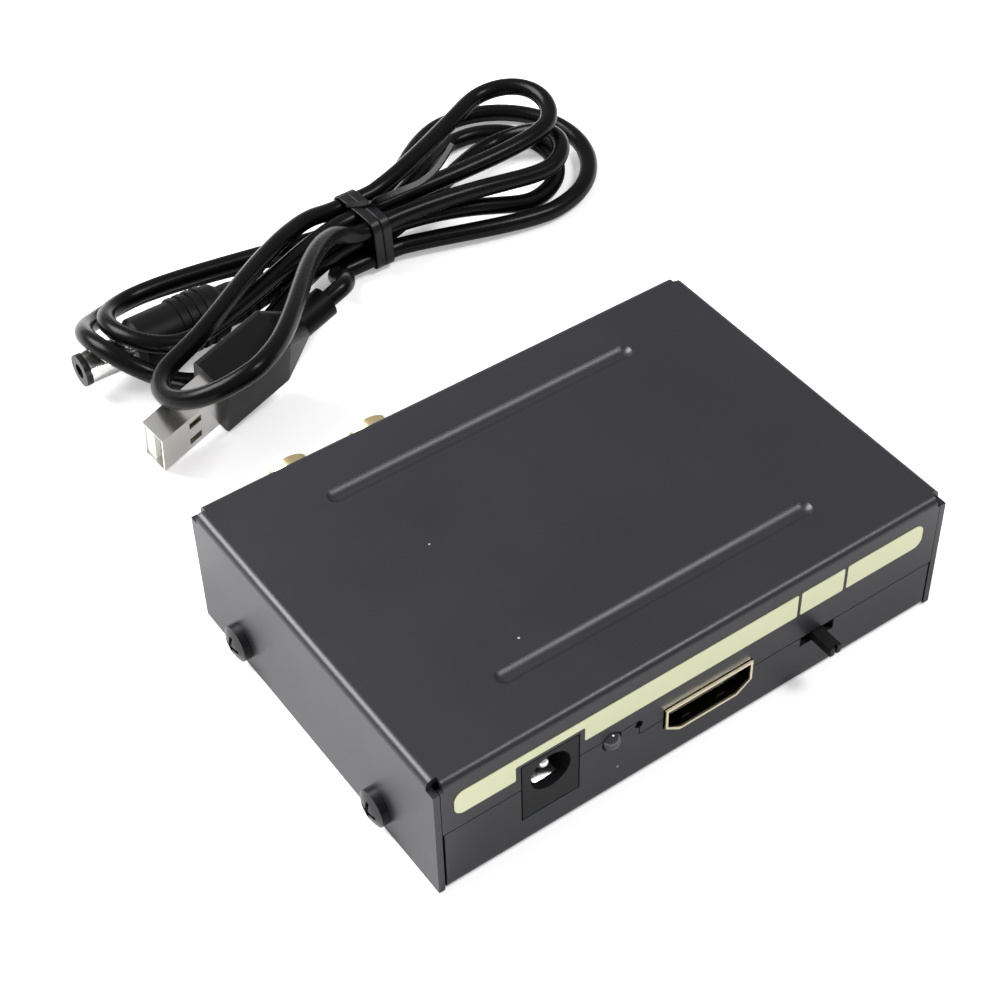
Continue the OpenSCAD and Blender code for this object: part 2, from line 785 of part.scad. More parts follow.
cap_l = 1.6;
cap_w = 0.8;
cap_pitch = 2.4;
module ceramic_capacitors() {
    color("#b08d57") {
        for (k = [0:5]) translate([chip_x - chip_w / 2 + k * cap_pitch, chip_y - chip_w / 2 - 2 * cap_l, board_top])
            cube([cap_w, cap_l, cap_w]);
        for (k = [0:4]) translate([chip_x - chip_w / 2 + k * cap_pitch, chip_y + chip_w / 2 + cap_l, board_top])
            cube([cap_w, cap_l, cap_w]);
    }
}

// Barrel plug, lying along X with its tip at the left
barrel_y = 83.2;
barrel_z = 5.05;
barrel_tip_x = -35.4;
barrel_l = 9.1;
tip_ring_l = 1.1;
barrel_hole_r = 1.25;
grip_l = 17.3;
relief_l = 10.0;
grip_edge = 1.2;
rib_pitch = 1.6;
rib_w = 0.8;
rib_out = 0.35;
relief_slot = 1.0;
module at_barrel() {
    translate([barrel_tip_x, barrel_y, barrel_z]) rotate([0, 90, 0]) children();
}

module barrel_plug_tip() {
    color("#1a1a1c") at_barrel() difference() {
        cylinder(h = tip_ring_l, r = barrel_d / 2);
        translate([0, 0, -over]) cylinder(h = tip_ring_l + 2 * over, r = barrel_hole_r);
    }
}

module barrel_plug_sleeve() {
    color("#d5d4ce") at_barrel() translate([0, 0, tip_ring_l]) difference() {
        cylinder(h = barrel_l - tip_ring_l, r = barrel_d / 2);
        translate([0, 0, -over]) cylinder(h = barrel_l - tip_ring_l - over, r = barrel_hole_r);
    }
}

module barrel_plug_body() {
    grip_r = grip_d / 2;
    neck_r = grip_r * 0.72;
    end_r = lead_d / 2 + rib_w;
    hole_l = relief_l / 2;
    color("#1e1e20") at_barrel() translate([0, 0, barrel_l]) difference() {
        rotate_extrude() polygon([
            [0, 0], [grip_r - grip_edge, 0], [grip_r - rib_out, grip_edge], [grip_r - rib_out, grip_l - grip_edge],
            [neck_r, grip_l], [neck_r, grip_l + relief_l * 0.2], [end_r, grip_l + relief_l], [0, grip_l + relief_l]
        ]);
        for (k = [0:3], side = [-1, 1])
            translate([-grip_r, side * (end_r + rib_w) - rib_w, grip_l + relief_l * 0.25 + k * 2 * relief_slot])
                cube([grip_d, 2 * rib_w, relief_slot]);
    }
    color("#1e1e20") at_barrel() for (k = [0:3])
        translate([0, 0, barrel_l + grip_l / 2 + k * rib_pitch]) difference() {
            cylinder(h = rib_w, r = grip_r);
            translate([0, 0, -over]) cylinder(h = rib_w + 2 * over, r = grip_r - 2 * rib_out);
        }
}

// Flat plug, leaning on its narrow edge; drawn with its tip at the origin, looking along +X
flat_tip = [-34.8, 59.4, 6.35];
flat_turn = [-112, 12, 189];
shell_l = 12.0;
shell_sheet = 0.3;
flat_body_w = 15.4;
flat_body_t = 7.8;
flat_body_l = 12.5;
flat_shoulder_l = 6.0;
flat_relief_l = 6.0;
flat_relief_r = 2.6;
window_w = 2.3;
window_l = 2.4;
window_in = 6.6;
window_y = 3.0;
module at_flat() {
    translate(flat_tip) rotate(flat_turn) children();
}

module flat_plug_shell() {
    color("#cfcec8") at_flat() difference() {
        translate([-shell_l, -shell_w / 2, -shell_t / 2]) cube([shell_l, shell_w, shell_t]);
        translate([-shell_l - over, -shell_w / 2 + shell_sheet, -shell_t / 2 + shell_sheet])
            cube([shell_l + 2 * over, shell_w - 2 * shell_sheet, shell_t - 2 * shell_sheet]);
        for (side = [-1, 1]) translate([-window_in, side * window_y, 0])
            cube([window_l, window_w, 2 * shell_t], center = true);
    }
}

insert_t = 1.9;
module flat_plug_insert() {
    inner_w = shell_w - 2 * (shell_sheet + fit_gap);
    color("#e6e5df") at_flat()
        translate([-shell_l, -inner_w / 2, -shell_t / 2 + shell_sheet + fit_gap])
            cube([shell_l - shell_sheet, inner_w, insert_t]);
}

strip_w = 1.2;
strip_t = 0.15;
strip_l = 8.0;
module flat_plug_contacts() {
    color("#d9b968") at_flat() for (k = [-1.5:1:1.5])
        translate([-strip_l - strip_w, k * 2 * strip_w - strip_w / 2,
            -shell_t / 2 + shell_sheet + fit_gap + insert_t])
            cube([strip_l, strip_w, strip_t]);
}

module flat_plug_body() {
    color("#1e1e20") at_flat() {
        translate([-shell_l, 0, 0]) rotate([0, -90, 0]) linear_extrude(flat_body_l)
            rounded_box(flat_body_t, flat_body_w, grip_edge);
        translate([-shell_l - flat_body_l, 0, 0]) hull() {
            rotate([0, -90, 0]) linear_extrude(over) rounded_box(flat_body_t, flat_body_w, grip_edge);
            rotate([0, -90, 0]) cylinder(h = flat_shoulder_l, r = flat_relief_r, $fn = 32);
        }
        translate([-shell_l - flat_body_l - flat_shoulder_l, 0, 0]) rotate([0, -90, 0])
            cylinder(h = flat_relief_l, r = flat_relief_r);
    }
}

// Rectangle round its four corners
module rounded_box(w, h, r) {
    square([w - 2 * r, h], center = true);
    square([w, h - 2 * r], center = true);
    for (x = [-1, 1], y = [-1, 1]) translate([x * (w / 2 - r), y * (h / 2 - r)]) circle(r);
}

// Lead: one tube that runs back and forth between seven folds, drawn in at a waist where a tie holds it.
// Its route is a list chosen by hand: at the waist each run lies in a slot, [across, height].
waist = [20.5, 86.0, 0];
waist_half = 3.5;
slot_pitch = 4.0;
low_z = 2.35;
mid_z = 5.55;
top_z = 8.75;
far_low = [slot_pitch, low_z];
mid_low = [0, low_z];
near_low = [-slot_pitch, low_z];
far_mid = [slot_pitch / 2, mid_z];
near_mid = [-slot_pitch / 2, mid_z];
far_top = [slot_pitch, top_z];
mid_top = [0, top_z];
near_top = [-slot_pitch, top_z];
// How hard a run keeps to its line at the waist and at the fold, as shares of the run's length
even_share = [0.6, 0.7];
wide_share = [0.4, 0.9];
tight_share = [0.5, 0.7];
firm_share = [0.7, 0.8];
slow_share = [0.8, 0.5];
level_share = [0.7, 0.7];
// Powers of the easing with which a run comes down late and climbs early
late_power = 2.5;
early_power = 0.5;
// Folds in order: side, slot in, slot out, middle, radius, heading, side entered first,
// heights in, at the tip and out, pull in, pull out
folds = [
    [1, mid_low, near_top, [53.9, 87.8], 8.0, 3, 1, [2.9, 6.5, 6.7], even_share, even_share],
    [-1, near_top, far_top, [-22.8, 58.0], 9.0, 200, -1, [22.5, 17.5, 14.5], level_share, level_share],
    [1, far_top, mid_top, [55.7, 93.5], 7.8, 25, 1, [9.8, 10.9, 10.1], even_share, even_share],
    [-1, mid_top, far_mid, [-19.3, 83.9], 9.1, 183, -1, [9.3, 10.1, 6.4], tight_share, even_share],
    [1, far_mid, near_mid, [51.0, 90.7], 11.3, 5, 1, [1.7, 1.7, 1.7], slow_share, even_share],
    [-1, near_mid, far_low, [-19.8, 83.5], 12.6, 193, -1, [3.2, 10.1, 3.2], firm_share, even_share],
    [1, far_low, near_low, [52.4, 91.3], 16.3, 5, 1, [1.7, 1.7, 1.7], wide_share, wide_share]
];
run_steps = 7;
fold_steps = 9;
hank_sides = 6;
tail_sides = 8;
tail_steps = 12;

function ease(s) = 3 * pow(s, 2) - 2 * pow(s, 3);
function blend(p, v, q, w, s) = p * (1 - ease(s)) + q * ease(s)
    + v * (pow(s, 3) - 2 * pow(s, 2) + s) + w * (pow(s, 3) - pow(s, 2));
function at_waist(side, slot) = waist + [side * waist_half, slot[0], slot[1]];
function run_point(p, q, side, ahead, pull, s) =
    let (l = norm(q - p), flat = blend(p, [side * l * pull[0], 0, 0], q, ahead * l * pull[1], s))
    [flat[0], flat[1], p[2] + (q[2] - p[2]) * pow(ease(s), q[2] < p[2] ? late_power : early_power)];
function fold_height(z, a) = (z[0] + z[2]) / 2 + (z[0] - z[2]) / 2 * cos(a)
    + (z[1] - (z[0] + z[2]) / 2) * pow(sin(a), 2);
function fold_point(f, ahead, across, a) = [f[3][0], f[3][1], fold_height(f[7], a)]
    + across * f[6] * f[4] * cos(a) + ahead * f[4] * sin(a);
function fold_points(f) =
    let (ahead = [cos(f[5]), sin(f[5]), 0], across = f[0] * [-sin(f[5]), cos(f[5]), 0],
        first = at_waist(f[0], f[1]), last = at_waist(f[0], f[2]),
        enter = fold_point(f, ahead, across, 0), leave = fold_point(f, ahead, across, 180))
    [
        for (k = [0:run_steps - 1]) run_point(first, enter, f[0], ahead, f[8], k / run_steps),
        for (k = [0:fold_steps]) fold_point(f, ahead, across, 180 * k / fold_steps),
        for (k = [run_steps - 1:-1:0]) run_point(last, leave, f[0], ahead, f[9], k / run_steps)
    ];
hank_points = [at_waist(-1, mid_low), for (f = folds) each fold_points(f), at_waist(-1, near_low)];

function unit(v) = v / norm(v);
function along(p, k) = unit(p[min(k + 1, len(p) - 1)] - p[max(k - 1, 0)]);
function ring(c, t, r, n) =
    let (u = unit(cross(t, [0, 0, 1])), w = cross(u, t))
    [for (a = [0:n - 1]) c + r * (u * cos(360 * a / n) + w * sin(360 * a / n))];
module tube(p, r, n) {
    last = (len(p) - 1) * n;
    polyhedron(
        [for (k = [0:len(p) - 1]) each ring(p[k], along(p, k), r, n)],
        [
            for (k = [0:len(p) - 2], a = [0:n - 1]) each
                let (i = k * n + a, j = k * n + (a + 1) % n) [[i, i + n, j], [j, i + n, j + n]],
            for (a = [1:n - 2]) [0, a, a + 1],
            for (a = [1:n - 2]) [last, last + a + 1, last + a]
        ]);
}

// Least gap of the hank to itself, from the distances of its points to the straights between them
function to_straight(c, p, q) =
    let (s = min(1, max(0, (c - p) * (q - p) / ((q - p) * (q - p))))) norm(c - p - s * (q - p));
near_points = 6;
hank_gap = min([
    for (i = [0:len(hank_points) - 1], j = [0:len(hank_points) - 2])
        if (abs(i - j) > near_points) to_straight(hank_points[i], hank_points[j], hank_points[j + 1])
]) - lead_d;

module lead_hank() {
    echo(hank_gap = hank_gap);
    color("#151517") tube(hank_points, lead_d / 2, hank_sides);
}

barrel_end = [barrel_tip_x + barrel_l + grip_l + relief_l, barrel_y, barrel_z];
barrel_pull_shares = [0.45, 1.1];
module lead_barrel_tail() {
    from = barrel_end + [lead_d / 2, 0, 0];
    to = at_waist(-1, mid_low) - [lead_d / 2, 0, 0];
    l = norm(to - from);
    color("#151517") tube([
        barrel_end,
        for (k = [0:tail_steps])
            blend(from, [l * barrel_pull_shares[0], 0, 0], to, [l * barrel_pull_shares[1], 0, 0], k / tail_steps),
        at_waist(-1, mid_low)
    ], lead_d / 2, tail_sides);
}

function turned(v, a) =
    let (x = [v[0], v[1] * cos(a[0]) - v[2] * sin(a[0]), v[1] * sin(a[0]) + v[2] * cos(a[0])],
        y = [x[0] * cos(a[1]) + x[2] * sin(a[1]), x[1], x[2] * cos(a[1]) - x[0] * sin(a[1])])
    [y[0] * cos(a[2]) - y[1] * sin(a[2]), y[0] * sin(a[2]) + y[1] * cos(a[2]), y[2]];
flat_l = shell_l + flat_body_l + flat_shoulder_l + flat_relief_l;
flat_pull_share = 0.6;
module lead_flat_tail() {
    end = flat_tip + turned([-flat_l, 0, 0], flat_turn);
    out = turned([-1, 0, 0], flat_turn);
    from = end + out * lead_d;
    to = at_waist(-1, near_low) - [lead_d, 0, 0];
    pull = norm(to - from) * flat_pull_share;
    color("#151517") tube([
        end,
        for (k = [0:tail_steps]) blend(from, out * pull, to, [pull, 0, 0], k / tail_steps),
        at_waist(-1, near_low)
    ], lead_d / 2, tail_sides);
}

// Twist tie: a flat band drawn round the waist
tie_l = 3.0;
tie_t = 0.6;
tie_gap = 0.15;
module lead_tie() {
    inner_w = 2 * slot_pitch + lead_d + 2 * tie_gap;
    inner_h = top_z - low_z + lead_d + 2 * tie_gap;
    corner_r = lead_d / 2 + tie_gap;
    color("#0f0f11") translate([waist[0] - tie_l / 2, waist[1], (low_z + top_z) / 2]) rotate([90, 0, 90])
        linear_extrude(tie_l) difference() {
            rounded_box(inner_w + 2 * tie_t, inner_h + 2 * tie_t, corner_r + tie_t);
            rounded_box(inner_w, inner_h, corner_r);
        }
}

top_cover();
bottom_tray();
case_screws();
standoffs();
circuit_board();
board_screws();
dc_jack_body();
dc_jack_pin();
dc_jack_spring();
power_light();
light_leads();
video_in_shell();
video_in_tongue();
video_in_contacts();
video_out_shell();
video_out_tongue();
video_out_contacts();
mode_switch_cover();
mode_switch_base();
mode_switch_knob();
mode_switch_terminals();
audio_jack_housing();
audio_jack_shells();
audio_insert_left();
audio_insert_right();
audio_jack_contacts();
optical_port_body();
optical_port_flap();
optical_flap_pin();
optical_emitter();
video_chip();
audio_chip();
regulator();
clock_crystal();
electrolytic_capacitors();
inductor();
ceramic_capacitors();
lead_hank();
lead_barrel_tail();
lead_flat_tail();
lead_tie();
barrel_plug_body();
barrel_plug_sleeve();
barrel_plug_tip();
flat_plug_body();
flat_plug_shell();
flat_plug_insert();
flat_plug_contacts();
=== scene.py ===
# %% [markdown]
# A small steel box that takes the sound out of a video link lies on a white table, with its power lead
# hanked up behind it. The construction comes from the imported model, so every piece already has its place.
# This lesson gives each surface its finish, lays the lead as one long curve with its tie wound round it,
# and adds the one thing that the construction leaves out, the pale strip on the front.

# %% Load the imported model
import json
import math

import bmesh
import bpy
from mathutils import Matrix, Vector


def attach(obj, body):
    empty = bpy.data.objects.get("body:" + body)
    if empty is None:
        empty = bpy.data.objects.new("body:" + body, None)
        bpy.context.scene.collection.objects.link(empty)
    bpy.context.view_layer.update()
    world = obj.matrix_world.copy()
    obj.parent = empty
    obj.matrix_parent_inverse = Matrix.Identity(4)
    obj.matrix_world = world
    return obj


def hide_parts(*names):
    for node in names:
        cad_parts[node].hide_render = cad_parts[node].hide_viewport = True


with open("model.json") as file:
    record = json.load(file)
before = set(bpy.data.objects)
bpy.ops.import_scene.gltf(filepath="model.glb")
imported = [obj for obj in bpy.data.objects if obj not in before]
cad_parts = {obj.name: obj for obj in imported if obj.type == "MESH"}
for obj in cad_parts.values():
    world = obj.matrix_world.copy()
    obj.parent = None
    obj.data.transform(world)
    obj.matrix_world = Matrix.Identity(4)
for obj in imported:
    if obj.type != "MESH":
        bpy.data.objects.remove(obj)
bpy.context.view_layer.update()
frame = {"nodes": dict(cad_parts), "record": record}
MM = 0.001
print("pieces in the frame:", len(frame["nodes"]))

# %% [markdown]
# The camera stands where the photographer stood: in front of the box, about 34 degrees round to its left,
# and looking down at about 45 degrees. Its place and direction were fitted to the edges of the box, so the
# lens is a long one and nothing is shifted. A target to track would also aim it, but three unit vectors
# set it exactly.

# %% Camera
LENS_MM = 76.8
SENSOR_MM = 36.0
EYE = Vector((-124.296, -165.401, 232.711)) * MM
LOOK = Vector((0.39549, 0.57934, -0.71271)).normalized()
UP = Vector((0.42314, 0.57379, 0.70122))
NEAR_CLIP = 0.01

right = LOOK.cross(UP).normalized()
up = right.cross(LOOK)
camera_data = bpy.data.cameras.new("camera")
camera_data.lens = LENS_MM
camera_data.sensor_width = SENSOR_MM
camera_data.sensor_fit = "HORIZONTAL"
camera_data.clip_start = NEAR_CLIP
camera = bpy.data.objects.new("camera", camera_data)
turn = Matrix((right, up, -LOOK)).transposed()
camera.matrix_world = Matrix.Translation(EYE) @ turn.to_4x4()
bpy.context.scene.collection.objects.link(camera)
bpy.context.scene.camera = camera
print("camera distance to the box, m:", round(EYE.length, 3))

# %% [markdown]
# The lead is a round black cable about 0.845 m long. The factory folds it back and forth into a hank and
# draws it in with a tie. Each strand could be drawn by hand, but here the route runs through slots at the
# waist and turns in seven folds, so a few numbers, in millimetres, shape all of it.

# %% Slots at the waist and the seven folds
LEAD_D = 3.1
WAIST = Vector((20.5, 86.0, 0.0))
WAIST_HALF = 3.5
SLOT_PITCH = 4.0
LOW_Z, MID_Z, TOP_Z = 2.35, 5.55, 8.75
FAR_LOW, MID_LOW, NEAR_LOW = (SLOT_PITCH, LOW_Z), (0.0, LOW_Z), (-SLOT_PITCH, LOW_Z)
FAR_MID, NEAR_MID = (SLOT_PITCH / 2, MID_Z), (-SLOT_PITCH / 2, MID_Z)
FAR_TOP, MID_TOP, NEAR_TOP = (SLOT_PITCH, TOP_Z), (0.0, TOP_Z), (-SLOT_PITCH, TOP_Z)
EVEN, WIDE, TIGHT = (0.6, 0.7), (0.4, 0.9), (0.5, 0.7)
FIRM, SLOW, LEVEL = (0.7, 0.8), (0.8, 0.5), (0.7, 0.7)
LATE_POWER, EARLY_POWER = 2.5, 0.5
RUN_STEPS, FOLD_STEPS, TAIL_STEPS = 7, 9, 12
# Each row has the fold's side of the waist, its slots in and out, its middle, radius and heading in degrees,
# the edge it starts on, its heights at the start, tip and end, and the pulls of the strands in and out.
FOLDS = [
    (1, MID_LOW, NEAR_TOP, (53.9, 87.8), 8.0, 3, 1, (2.9, 6.5, 6.7), EVEN, EVEN),
    (-1, NEAR_TOP, FAR_TOP, (-22.8, 58.0), 9.0, 200, -1, (22.5, 17.5, 14.5), LEVEL, LEVEL),
    (1, FAR_TOP, MID_TOP, (55.7, 93.5), 7.8, 25, 1, (9.8, 10.9, 10.1), EVEN, EVEN),
    (-1, MID_TOP, FAR_MID, (-19.3, 83.9), 9.1, 183, -1, (9.3, 10.1, 6.4), TIGHT, EVEN),
    (1, FAR_MID, NEAR_MID, (51.0, 90.7), 11.3, 5, 1, (1.7, 1.7, 1.7), SLOW, EVEN),
    (-1, NEAR_MID, FAR_LOW, (-19.8, 83.5), 12.6, 193, -1, (3.2, 10.1, 3.2), FIRM, EVEN),
    (1, FAR_LOW, NEAR_LOW, (52.4, 91.3), 16.3, 5, 1, (1.7, 1.7, 1.7), WIDE, WIDE),
]


def ease(s):
    """A share from 0 to 1 that starts and ends gently."""
    return 3 * s**2 - 2 * s**3


def blend(p, v, q, w, s):
    """The curve that leaves p with the pull v and reaches q with the pull w."""
    e = ease(s)
    return p * (1 - e) + q * e + v * (s**3 - 2 * s**2 + s) + w * (s**3 - s**2)


def at_waist(side, slot):
    """A slot's place on one side of the waist."""
    return WAIST + Vector((side * WAIST_HALF, slot[0], slot[1]))


def run_point(p, q, side, ahead, pull, s):
    """A point on the strand between a slot at the waist and the start or end of a fold."""
    reach = (q - p).length
    flat = blend(p, Vector((side * reach * pull[0], 0, 0)), q, ahead * reach * pull[1], s)
    power = LATE_POWER if q.z < p.z else EARLY_POWER
    return Vector((flat.x, flat.y, p.z + (q.z - p.z) * ease(s) ** power))


def fold_points(fold):
    """The strand out of the waist, the half circle of the fold, and the strand back."""
    side, slot_in, slot_out, middle, radius, heading, first, heights, pull_in, pull_out = fold
    h = math.radians(heading)
    ahead = Vector((math.cos(h), math.sin(h), 0))
    across = side * Vector((-math.sin(h), math.cos(h), 0))

    def bend(a):
        rest = (heights[0] + heights[2]) / 2
        z = rest + (heights[0] - heights[2]) / 2 * math.cos(a) + (heights[1] - rest) * math.sin(a) ** 2
        sway = across * first * radius * math.cos(a) + ahead * radius * math.sin(a)
        return Vector((middle[0], middle[1], z)) + sway

    start, end = at_waist(side, slot_in), at_waist(side, slot_out)
    shares = [k / RUN_STEPS for k in range(RUN_STEPS)]
    points = [run_point(start, bend(0), side, ahead, pull_in, s) for s in shares]
    points += [bend(math.pi * k / FOLD_STEPS) for k in range(FOLD_STEPS + 1)]
    points += [run_point(end, bend(math.pi), side, ahead, pull_out, s) for s in reversed(shares)]
    return points


print("folds in the hank:", len(FOLDS))

# %% [markdown]
# The two ends of the lead leave the hank at the waist, one to the round plug and one to the flat plug.
# Both plugs are already in the frame, so the tails start square on the ends of their strain reliefs.
# The flat plug leans on its narrow edge, and its direction comes from the three angles of its turn.

# %% The whole route, from the round plug to the flat plug
BARREL_END = Vector((1.0, 83.2, 5.05))
BARREL_PULLS = (0.45, 1.1)
FLAT_TIP = Vector((-34.8, 59.4, 6.35))
FLAT_TURN = (-112, 12, 189)
FLAT_L = 36.5
FLAT_PULL = 0.6
LEAD_FINE_STEPS = 4


def flat_turn():
    """The flat plug's turn about X, then Y, then Z."""
    x, y, z = (math.radians(a) for a in FLAT_TURN)
    return Matrix.Rotation(z, 3, "Z") @ Matrix.Rotation(y, 3, "Y") @ Matrix.Rotation(x, 3, "X")


def tail(start, out, end, pulls, stub):
    """An end of the lead, straight for a stub where it leaves the plug and where it reaches the waist."""
    first = start + out * stub
    last = end - Vector((stub, 0, 0))
    reach = (last - first).length
    v, w = out * reach * pulls[0], Vector((reach * pulls[1], 0, 0))
    middle = [blend(first, v, last, w, k / TAIL_STEPS) for k in range(TAIL_STEPS + 1)]
    return [start, *middle, end]


def smooth(points, steps):
    """More points on the curve that passes through the given ones."""
    line = [points[0], *points, points[-1]]
    out = []
    for k in range(len(points) - 1):
        a, b, c, d = line[k : k + 4]
        for j in range(steps):
            s = j / steps
            slope = (c - a) * s
            bow = (2 * a - 5 * b + 4 * c - d) * s**2
            sway = (3 * b - a - 3 * c + d) * s**3
            out.append((2 * b + slope + bow + sway) / 2)
    return [*out, points[-1]]


flat_out = flat_turn() @ Vector((-1, 0, 0))
flat_end = FLAT_TIP + flat_out * FLAT_L
barrel_tail = tail(BARREL_END, Vector((1, 0, 0)), at_waist(-1, MID_LOW), BARREL_PULLS, LEAD_D / 2)
flat_tail = tail(flat_end, flat_out, at_waist(-1, NEAR_LOW), (FLAT_PULL, FLAT_PULL), LEAD_D)
hank = [p for fold in FOLDS for p in fold_points(fold)]
route = [p * MM for p in smooth([*barrel_tail, *hank, *reversed(flat_tail)], LEAD_FINE_STEPS)]

# %% [markdown]
# The cable's jacket is smooth and equally thick all along. A circle could be swept as a mesh, but a curve
# with a round bevel keeps the route open to change, and its length can still be measured on its points.

# %% Lead as one curve
LEAD_RESOLUTION = 5
UNIT_BEVEL = 1.0


def link(obj):
    bpy.context.scene.collection.objects.link(obj)
    return obj


def make_lead(points):
    """A round tube. A curve's box grows by its points' radii, so they hold the lead's own radius."""
    data = bpy.data.curves.new("lead", "CURVE")
    data.dimensions = "3D"
    data.bevel_depth = UNIT_BEVEL
    data.bevel_resolution = LEAD_RESOLUTION
    data.use_fill_caps = True
    spline = data.splines.new("POLY")
    spline.points.add(len(points) - 1)
    for spot, p in zip(spline.points, points):
        spot.co = (*p, 1.0)
        spot.radius = LEAD_D / 2 * MM
    spline.use_smooth = True
    return link(bpy.data.objects.new("lead", data))


lead = make_lead(route)
print("lead curve points:", len(lead.data.splines[0].points))

# %% [markdown]
# The tie is a thin black strip with a wire in it, wound twice round the waist, with one end left standing
# up. A ring would be simpler, but it could not climb along the lead or end in a twist. So a flat strip is
# swept along its path, and a side vector at each point says how it lies.

# %% Tie round the waist
TIE_W = 1.7
TIE_END_SHARE = 0.7
TIE_T = 0.4
TIE_EDGE = TIE_T / 3
TIE_GAP = 0.3
TIE_RISE = 1.8
TIE_TURNS = 2
TIE_TURN_STEPS = 48
TIE_FINE_STEPS = 6
SHARP_ANGLE = 40
TIE_TAIL = [
    (18.4, 87.4, 10.95), (19.8, 86.3, 11.0), (21.6, 85.2, 11.3), (23.9, 84.1, 12.0), (26.6, 82.8, 13.0),
    (29.5, 81.2, 14.4), (32.4, 80.3, 16.6), (35.8, 80.4, 20.0),
]
TAIL_TWIST = 75
TAIL_LEAN = 0.2


def strip_mesh(name, points, sides, width):
    """A flat strip with softened edges along points, lying across each point's own side vector."""
    bm = bmesh.new()
    w, t = width / 2, TIE_T / 2
    flat_w, flat_t = w - TIE_EDGE, t - TIE_EDGE
    outline = [
        (-w, -flat_t), (-flat_w, -t), (flat_w, -t), (w, -flat_t),
        (w, flat_t), (flat_w, t), (-flat_w, t), (-w, flat_t),
    ]
    rings = []
    for k, p in enumerate(points):
        ahead = (points[min(k + 1, len(points) - 1)] - points[max(k - 1, 0)]).normalized()
        across = (sides[k] - ahead * sides[k].dot(ahead)).normalized()
        proud = ahead.cross(across)
        rings.append([bm.verts.new((p + across * u + proud * v) * MM) for u, v in outline])
    n = len(outline)
    for a, b in zip(rings, rings[1:]):
        for j in range(n):
            bm.faces.new((a[j], a[(j + 1) % n], b[(j + 1) % n], b[j]))
    bm.faces.new(list(reversed(rings[0])))
    bm.faces.new(rings[-1])
    bmesh.ops.recalc_face_normals(bm, faces=bm.faces)
    mesh = bpy.data.meshes.new(name)
    bm.to_mesh(mesh)
    bm.free()
    mesh.polygons.foreach_set("use_smooth", [True] * len(mesh.polygons))
    mesh.set_sharp_from_angle(angle=math.radians(SHARP_ANGLE))
    return link(bpy.data.objects.new(name, mesh))


def tie_loop():
    """Points twice round the bundle, a rounded oblong that climbs along the lead."""
    half_w = SLOT_PITCH + LEAD_D / 2 + TIE_GAP
    half_h = (TOP_Z - LOW_Z) / 2 + LEAD_D / 2 + TIE_GAP
    corner = LEAD_D / 2 + TIE_GAP
    mid_z = (LOW_Z + TOP_Z) / 2
    points = []
    for k in range(TIE_TURNS * TIE_TURN_STEPS + 1):
        a = 2 * math.pi * k / TIE_TURN_STEPS - math.pi / 2
        y, z = math.cos(a), math.sin(a)
        grow = 1 / max(abs(y) / half_w, abs(z) / half_h)
        y, z = y * grow, z * grow
        over_y = max(0.0, abs(y) - (half_w - corner))
        over_z = max(0.0, abs(z) - (half_h - corner))
        if over_y and over_z:
            pull = corner / math.hypot(over_y, over_z)
            y = math.copysign(half_w - corner + over_y * pull, y)
            z = math.copysign(half_h - corner + over_z * pull, z)
        x = WAIST.x - TIE_RISE + TIE_RISE * k / TIE_TURN_STEPS
        points.append(Vector((x, WAIST.y + y, mid_z + z)))
    return points


loop = tie_loop()
lead_tie = strip_mesh("lead_tie_band", loop, [Vector((1, 0, 0))] * len(loop), TIE_W)
tail_points = smooth([Vector(p) for p in TIE_TAIL], TIE_FINE_STEPS)
tail_sides = []
for k in range(len(tail_points)):
    swing = math.radians(TAIL_TWIST) * k / (len(tail_points) - 1)
    tail_sides.append(Vector((math.cos(swing), -math.sin(swing), TAIL_LEAN)))
tie_end = strip_mesh("lead_tie_end", tail_points, tail_sides, TIE_W * TIE_END_SHARE)
print("tie points:", len(loop) + len(tail_points))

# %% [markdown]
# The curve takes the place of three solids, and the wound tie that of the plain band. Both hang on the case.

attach(lead, "case")
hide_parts("lead_hank", "lead_barrel_tail", "lead_flat_tail")
for piece in (lead_tie, tie_end):
    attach(piece, "case")
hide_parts("lead_tie")

# %% [markdown]
# The table is a white sheet. A studio photographer lights such a sheet until it is just white and keeps
# the soft shadow under the box. The sheet here has its own colour near white, and only what the camera
# sees of it, directly or through something clear, is lifted a little. More lamps would whiten it too, but
# they would also light the black box. Reflections show the sheet as it is lit, without the lift.

# %% Table
TABLE_SIZE = 3.0
TABLE_Z = -0.0001
TABLE_SQUARES = 4
TABLE_COLOUR = (0.86, 0.86, 0.87, 1)
TABLE_ROUGHNESS = 0.9
TABLE_SPECULAR = 0.1
TABLE_LIFT = 0.32
WHITE = (1, 1, 1, 1)


def node_tree(name):
    material = bpy.data.materials.new(name)
    material.use_nodes = True
    return material, material.node_tree.nodes, material.node_tree.links


